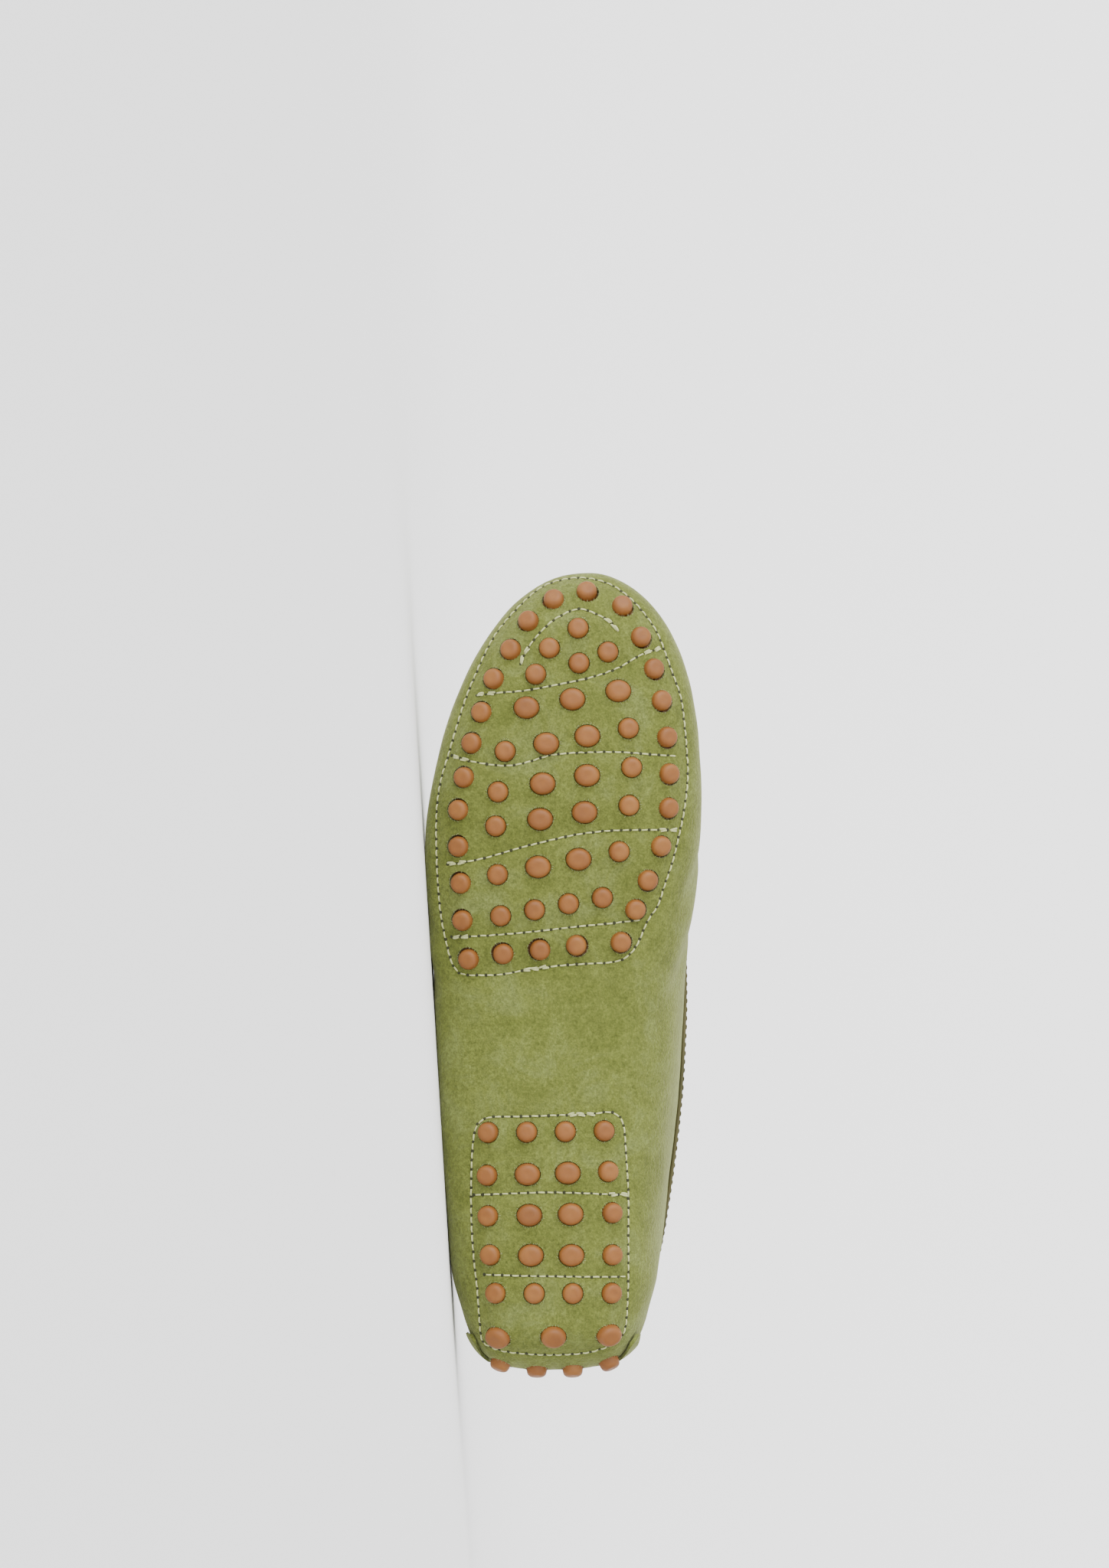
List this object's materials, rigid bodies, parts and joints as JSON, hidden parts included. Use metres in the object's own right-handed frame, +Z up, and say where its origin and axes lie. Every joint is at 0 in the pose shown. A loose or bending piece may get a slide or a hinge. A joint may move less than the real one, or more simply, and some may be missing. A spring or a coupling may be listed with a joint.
{
  "type": "driving moccasin",
  "caption": "Suede driving moccasin, right shoe, lying on its outer side, with rubber pebbles through the sole and a low open collar.",
  "frame": {"origin": "middle of the box's bottom face, on the surface that the shoe lies on", "axes": "-X towards the toe, -Y the way the sole faces, +Z up, towards the inner side of the foot"},
  "size_m": [0.2818, 0.074, 0.0987],
  "materials": {
    "suede": "napped suede, matt, pale olive green",
    "binding": "dark olive leather binding, matt",
    "pebbles": "orange-tan rubber, satin",
    "insole": "natural leather lining, matt"
  },
  "bodies": {
    "root": {"upper": "suede", "apron": "suede", "apron_seam": "suede", "heel_counter": "suede", "collar_binding": "binding", "forefoot_pad": "pebbles", "heel_pad": "pebbles", "heel_back_pad": "pebbles", "insole": "insole"}
  },
  "joints": []
}
